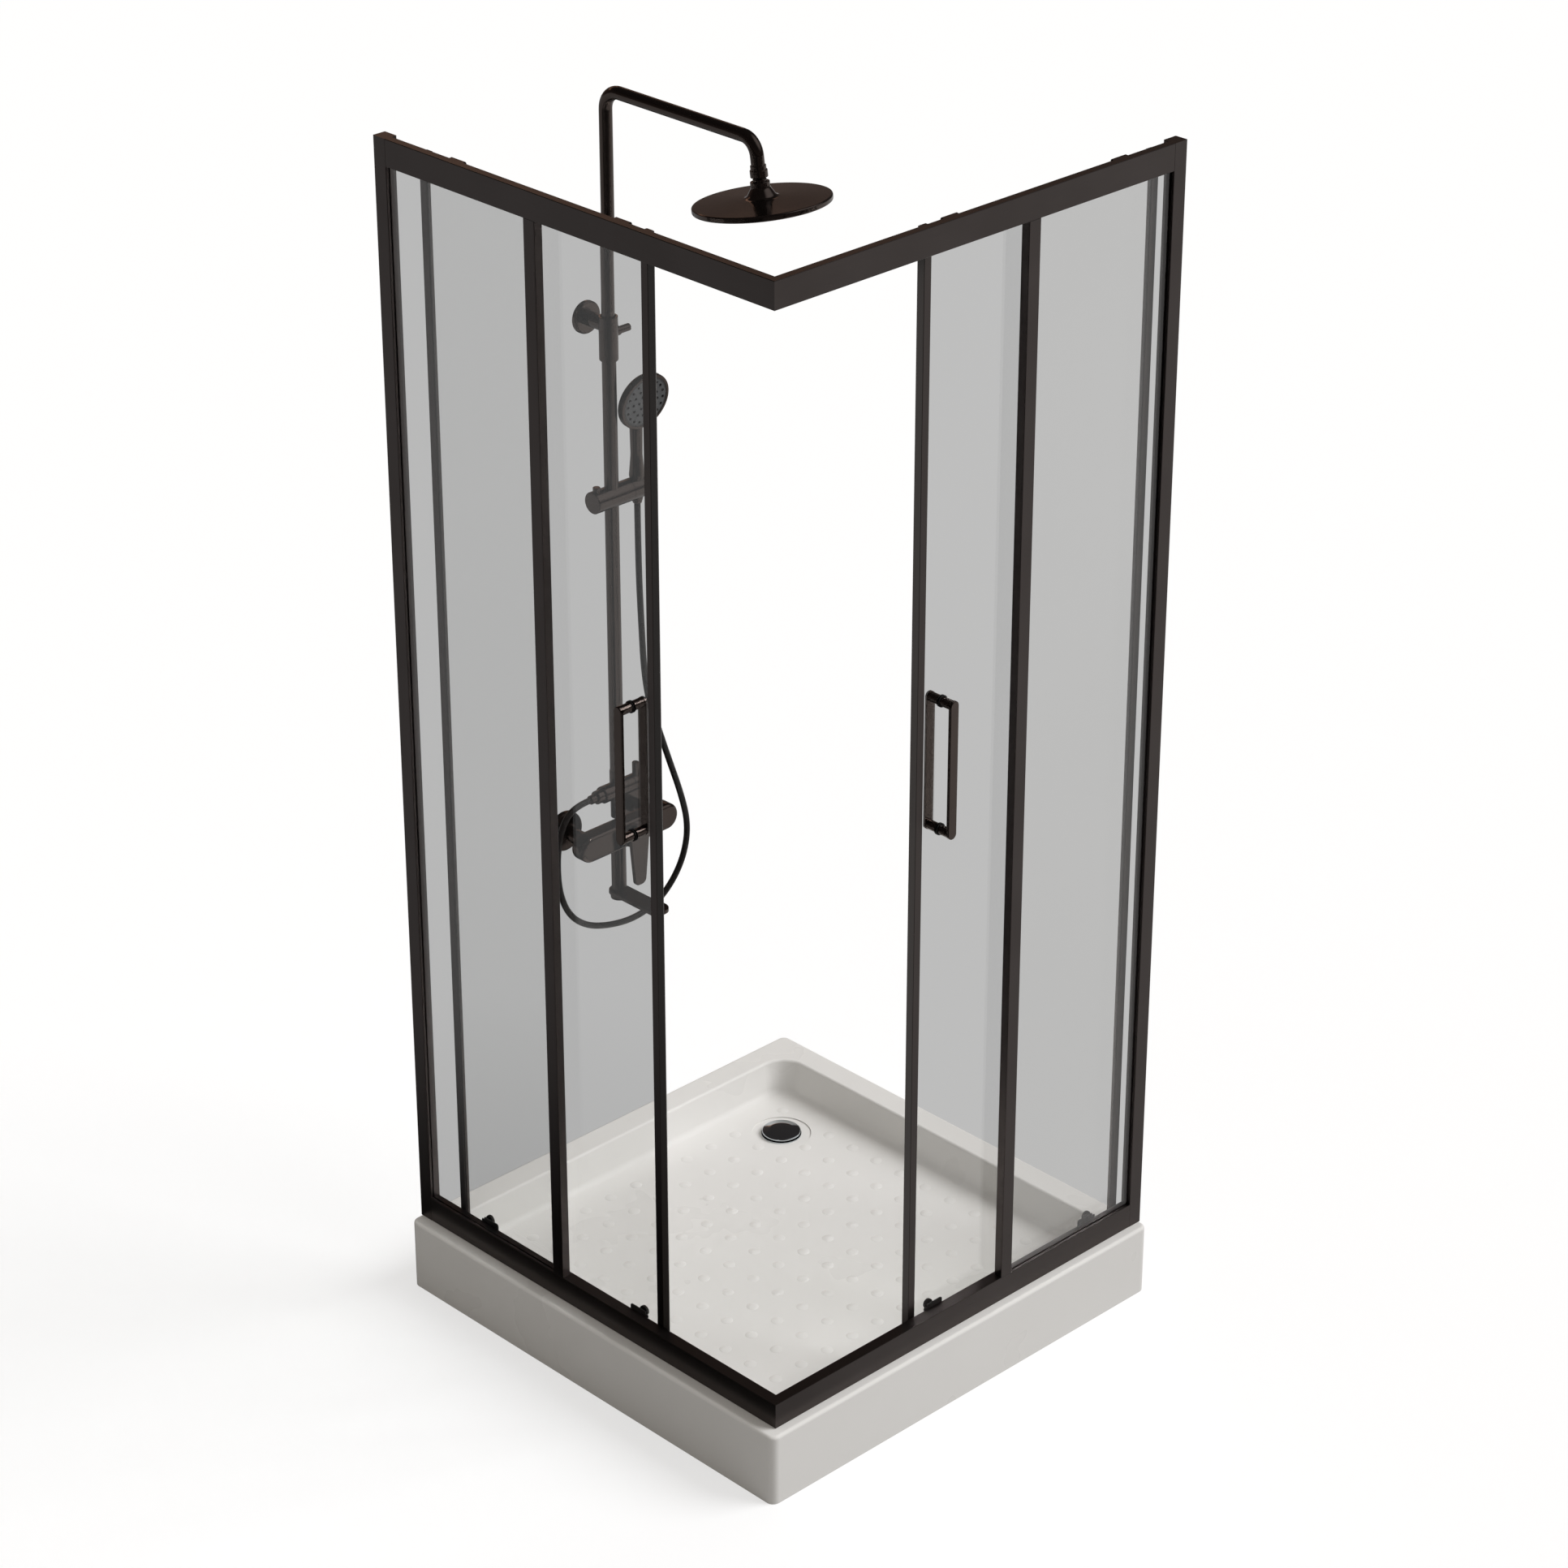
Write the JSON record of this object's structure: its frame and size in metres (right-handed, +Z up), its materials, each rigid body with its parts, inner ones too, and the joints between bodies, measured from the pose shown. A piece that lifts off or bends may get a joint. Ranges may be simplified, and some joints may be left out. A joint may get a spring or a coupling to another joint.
{
  "type": "corner shower enclosure",
  "caption": "Square corner shower enclosure with low tray, framed glass screens with sliding doors, and an exposed shower column with overhead rose, hand shower, mixer and spout.",
  "frame": {"origin": "on the floor under the middle of the square tray", "axes": "+Z up; -X to the wall that carries the shower column; +Y to the other wall; the two glass screens face -Y and +X"},
  "size_m": [0.9, 0.9, 2.084],
  "materials": {
    "tray_acrylic": "semi_gloss",
    "clear_glass": "polished",
    "dark_satin_metal": "satin",
    "polished_chrome": "polished",
    "dark_plastic": "matte",
    "black_rubber": "satin",
    "bare_aluminium": "satin",
    "black_magnet_strip": "satin"
  },
  "bodies": {
    "frame": {"shower_tray": "tray_acrylic", "tray_feet": "dark_plastic", "waste_trap": "dark_plastic", "waste_flange": "polished_chrome", "corner_joints": "bare_aluminium", "wall_channels": "dark_satin_metal", "post_caps": "dark_satin_metal", "front_post": "dark_satin_metal", "front_top_rail": "dark_satin_metal", "front_bottom_rail": "dark_satin_metal", "front_fixed_glass": "clear_glass", "front_fixed_stile": "dark_satin_metal", "side_post": "dark_satin_metal", "side_top_rail": "dark_satin_metal", "side_bottom_rail": "dark_satin_metal", "side_fixed_glass": "clear_glass", "side_fixed_stile": "dark_satin_metal", "column_bracket": "dark_satin_metal", "lower_riser": "dark_satin_metal", "shower_hose": "black_rubber", "diverter": "dark_satin_metal", "outlet_nut": "dark_satin_metal", "mixer_body": "dark_satin_metal", "mixer_unions": "dark_satin_metal"},
    "drain_cap": {"drain_cover": "polished_chrome"},
    "front_door": {"front_door_glass": "clear_glass", "front_leading_stile": "dark_satin_metal", "front_trailing_stile": "dark_satin_metal", "front_magnetic_seal": "black_magnet_strip", "front_roller_carriages": "dark_satin_metal", "front_lower_guides": "dark_plastic", "front_outer_handle": "dark_satin_metal", "front_inner_handle": "dark_satin_metal"},
    "front_roller_1": {"front_wheel_1": "dark_plastic"},
    "front_roller_2": {"front_wheel_2": "dark_plastic"},
    "side_door": {"side_door_glass": "clear_glass", "side_leading_stile": "dark_satin_metal", "side_trailing_stile": "dark_satin_metal", "side_magnetic_seal": "black_magnet_strip", "side_roller_carriages": "dark_satin_metal", "side_lower_guides": "dark_plastic", "side_outer_handle": "dark_satin_metal", "side_inner_handle": "dark_satin_metal"},
    "side_roller_1": {"side_wheel_1": "dark_plastic"},
    "side_roller_2": {"side_wheel_2": "dark_plastic"},
    "seal_carrier": {"arm_seal": "black_rubber"},
    "overhead_arm": {"riser_arm": "dark_satin_metal"},
    "head_swivel": {"ball_nut": "dark_satin_metal"},
    "overhead_rose": {"rain_head": "dark_satin_metal"},
    "clamp_knob": {"lock_knob": "dark_satin_metal"},
    "hose_slider": {"slider": "dark_satin_metal"},
    "slider_release": {"slider_button": "dark_satin_metal"},
    "holder": {"handset_cradle": "dark_satin_metal"},
    "hand_shower": {"handset": "dark_satin_metal", "handset_face": "dark_plastic", "handset_nut": "dark_satin_metal"},
    "diverter_handle": {"diverter_knob": "dark_satin_metal"},
    "lever_base": {"lever_hub": "dark_satin_metal"},
    "lever": {"mixer_lever": "dark_satin_metal"},
    "bath_spout": {"spout": "dark_satin_metal"}
  },
  "joints": [
    {"name": "front_door_slide", "type": "slide", "parent": "frame", "child": "front_door", "axis": [1, 0, 0], "range_m": [-0.046, 0.2508]},
    {"name": "front_roller_1_spin", "type": "hinge", "parent": "front_door", "child": "front_roller_1", "pos_m": [0.0929, -0.4074, 2.06675], "axis": [0, 1, 0], "continuous": true},
    {"name": "front_roller_2_spin", "type": "hinge", "parent": "front_door", "child": "front_roller_2", "pos_m": [-0.2761, -0.4074, 2.06675], "axis": [0, 1, 0], "continuous": true},
    {"name": "side_door_slide", "type": "slide", "parent": "frame", "child": "side_door", "axis": [0, -1, 0], "range_m": [-0.008, 0.2886]},
    {"name": "side_roller_1_spin", "type": "hinge", "parent": "side_door", "child": "side_roller_1", "pos_m": [0.4129, -0.0496, 2.06675], "axis": [1, 0, 0], "continuous": true},
    {"name": "side_roller_2_spin", "type": "hinge", "parent": "side_door", "child": "side_roller_2", "pos_m": [0.4129, 0.3194, 2.06675], "axis": [1, 0, 0], "continuous": true},
    {"name": "drain_cover_lift", "type": "slide", "parent": "frame", "child": "drain_cap", "axis": [0, 0, 1], "range_m": [0, 0.03]},
    {"name": "arm_height", "type": "slide", "parent": "frame", "child": "seal_carrier", "axis": [0, 0, 1], "range_m": [-0.08, 0.08]},
    {"name": "arm_swivel", "type": "hinge", "parent": "seal_carrier", "child": "overhead_arm", "pos_m": [-0.393, 0, 1.6], "axis": [0, 0, 1], "range_deg": [-40, 40]},
    {"name": "head_turn", "type": "hinge", "parent": "overhead_arm", "child": "head_swivel", "pos_m": [-0.04403, 0, 2.029], "axis": [-0.1564, 0, 0.9877], "range_deg": [-180, 180]},
    {"name": "head_tilt", "type": "hinge", "parent": "head_swivel", "child": "overhead_rose", "pos_m": [-0.04309, 0, 2.02307], "axis": [0, 1, 0], "range_deg": [-10, 10]},
    {"name": "lock_knob_turn", "type": "hinge", "parent": "frame", "child": "clamp_knob", "pos_m": [-0.393, 0.034, 1.66], "axis": [0, 1, 0], "range_deg": [0, 270]},
    {"name": "slider_height", "type": "slide", "parent": "frame", "child": "hose_slider", "axis": [0, 0, 1], "range_m": [-0.38, 0.06], "deforming": ["shower_hose"]},
    {"name": "button_press", "type": "slide", "parent": "hose_slider", "child": "slider_release", "axis": [0, 0, -1], "range_m": [0, 0.003], "stiffness_N_per_m": 900, "springref_m": -0.002},
    {"name": "cradle_tilt", "type": "hinge", "parent": "hose_slider", "child": "holder", "pos_m": [-0.393, 0, 1.373], "axis": [0, 1, 0], "range_deg": [0, 40], "deforming": ["shower_hose"]},
    {"name": "handset_lift", "type": "slide", "parent": "holder", "child": "hand_shower", "axis": [0, 0, 1], "range_m": [0, 0.06], "deforming": ["shower_hose"]},
    {"name": "diverter_turn", "type": "hinge", "parent": "frame", "child": "diverter_handle", "pos_m": [-0.393, 0.045, 0.829], "axis": [0, 1, 0], "range_deg": [-90, 90]},
    {"name": "lever_turn", "type": "hinge", "parent": "frame", "child": "lever_base", "pos_m": [-0.361, 0, 0.753], "axis": [1, 0, 0], "range_deg": [-35, 35]},
    {"name": "lever_lift", "type": "hinge", "parent": "lever_base", "child": "lever", "pos_m": [-0.377, 0, 0.753], "axis": [0, -1, 0], "range_deg": [0, 20]},
    {"name": "spout_turn", "type": "hinge", "parent": "frame", "child": "bath_spout", "pos_m": [-0.393, 0, 0.645], "axis": [0, 0, 1], "range_deg": [-60, 60]}
  ],
  "couplings": [
    {"joint": "front_roller_1_spin", "follows": "front_door_slide", "rad_per_m": 100},
    {"joint": "front_roller_2_spin", "follows": "front_door_slide", "rad_per_m": 100},
    {"joint": "side_roller_1_spin", "follows": "side_door_slide", "rad_per_m": 100},
    {"joint": "side_roller_2_spin", "follows": "side_door_slide", "rad_per_m": 100}
  ]
}
